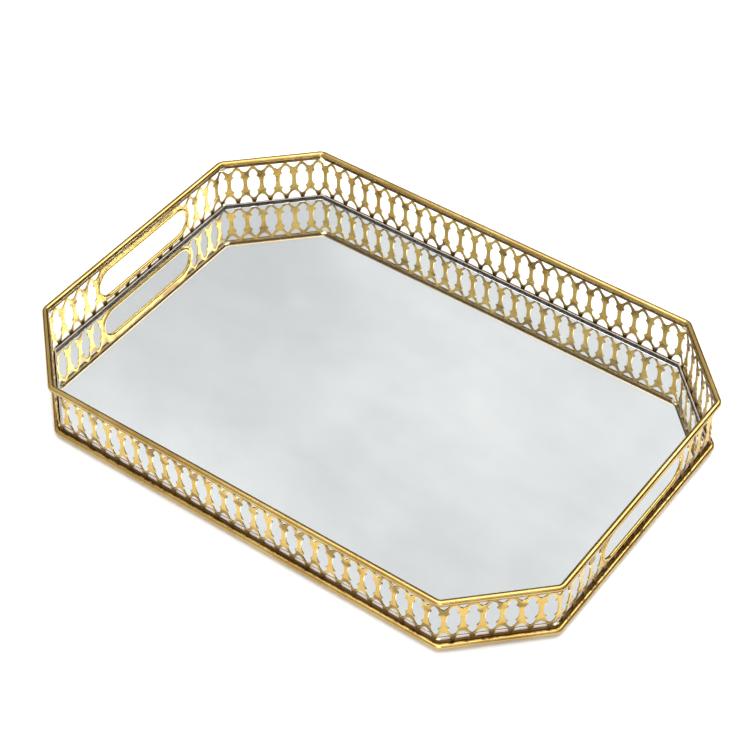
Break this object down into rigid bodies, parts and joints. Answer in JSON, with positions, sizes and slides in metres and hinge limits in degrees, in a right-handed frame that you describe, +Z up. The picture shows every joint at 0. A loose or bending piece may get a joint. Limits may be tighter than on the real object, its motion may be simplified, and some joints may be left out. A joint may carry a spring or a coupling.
{
  "type": "vanity tray",
  "caption": "Eight-sided mirror-floored vanity tray with a pierced gilt metal gallery between two rods and a handle slot in each short wall.",
  "frame": {"origin": "middle of the tray on the plane its foot pads rest on", "axes": "+X along the long walls, +Y from the front wall to the back wall, +Z up out of the tray"},
  "size_m": [0.37, 0.266, 0.0429],
  "materials": {
    "gold_metal": "polished",
    "clear_glass": "polished",
    "silvering": "mirror",
    "edge_seal": "matte",
    "hardboard": "matte",
    "flock": "matte",
    "pad_rubber": "matte"
  },
  "bodies": {
    "root": {"upper_rim_rod": "gold_metal", "lower_rim_rod": "gold_metal", "gallery_front": "gold_metal", "gallery_front_right_corner": "gold_metal", "gallery_right": "gold_metal", "gallery_back_right_corner": "gold_metal", "gallery_back": "gold_metal", "gallery_back_left_corner": "gold_metal", "gallery_left": "gold_metal", "gallery_front_left_corner": "gold_metal", "handle_edging_right": "gold_metal", "handle_edging_left": "gold_metal", "base_frame": "gold_metal", "mirror_glass": "clear_glass", "mirror_silvering": "silvering", "mirror_edge_seal": "edge_seal", "backing_board": "hardboard", "flock_liner": "flock", "foot_pad_front_right": "pad_rubber", "foot_pad_back_right": "pad_rubber", "foot_pad_back_left": "pad_rubber", "foot_pad_front_left": "pad_rubber"}
  },
  "joints": []
}
